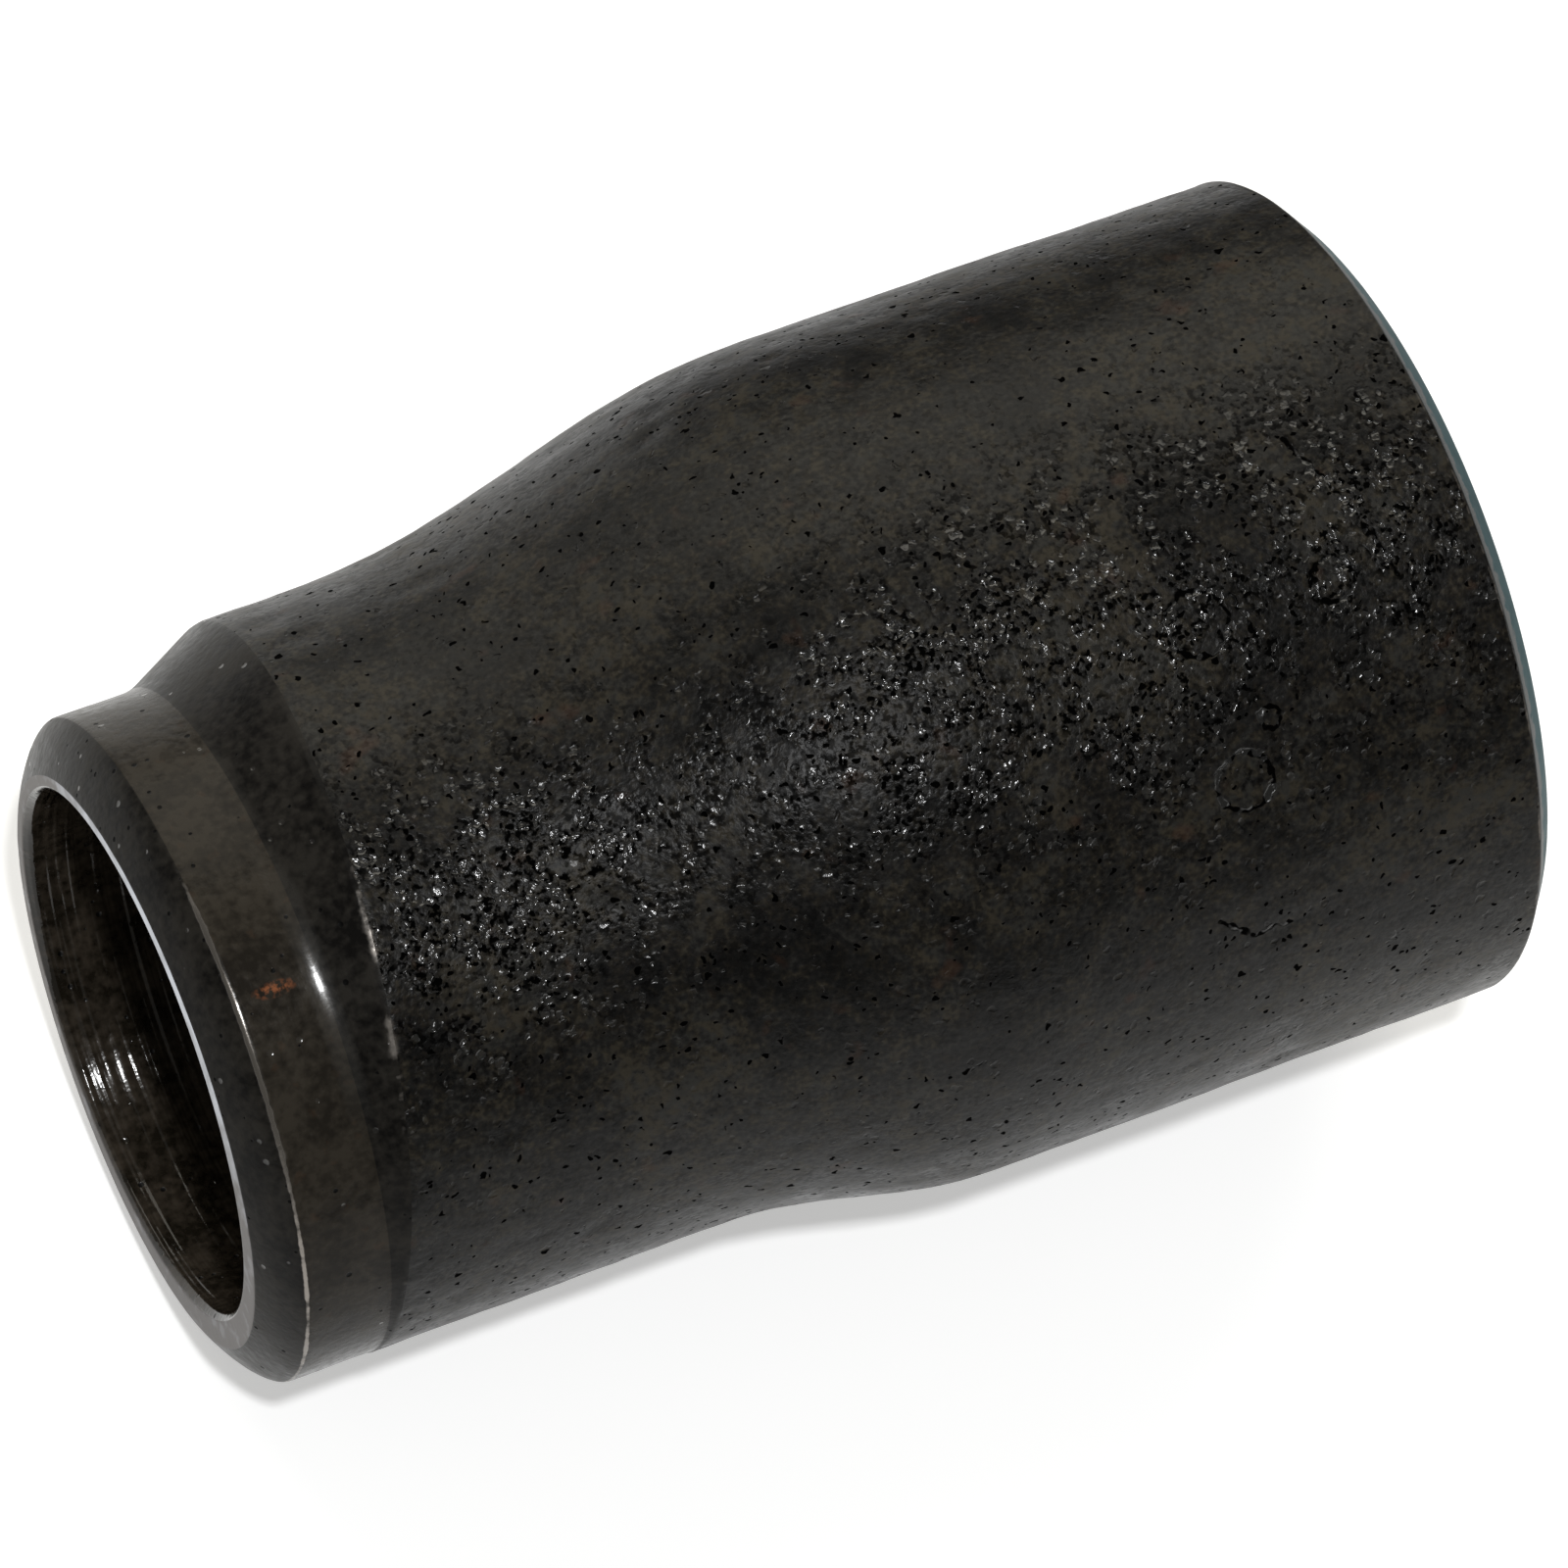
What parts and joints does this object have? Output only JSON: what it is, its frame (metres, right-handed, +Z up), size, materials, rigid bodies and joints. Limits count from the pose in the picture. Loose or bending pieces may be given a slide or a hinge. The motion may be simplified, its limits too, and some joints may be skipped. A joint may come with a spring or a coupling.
{
  "type": "eccentric reducer",
  "caption": "Butt-weld eccentric reducer in black forged steel: joins two pipe sizes with one side of the run kept straight. Both ends bevelled for welding.",
  "frame": {"origin": "under the middle of the length and of the large end, on the surface that the straight side lies on: the bottom centre of its box", "axes": "+X along the pipe from the large end to the small end; +Z up, away from the straight side, so the small end is set off towards -Z; +Y completes the frame"},
  "size_m": [0.052, 0.0334, 0.0334],
  "materials": {
    "black_forged_steel": "black forged steel with mill scale and a thin dark varnish, satin, finely pitted; ends machined"
  },
  "bodies": {
    "root": {"reducer_body": "black_forged_steel"}
  },
  "joints": []
}
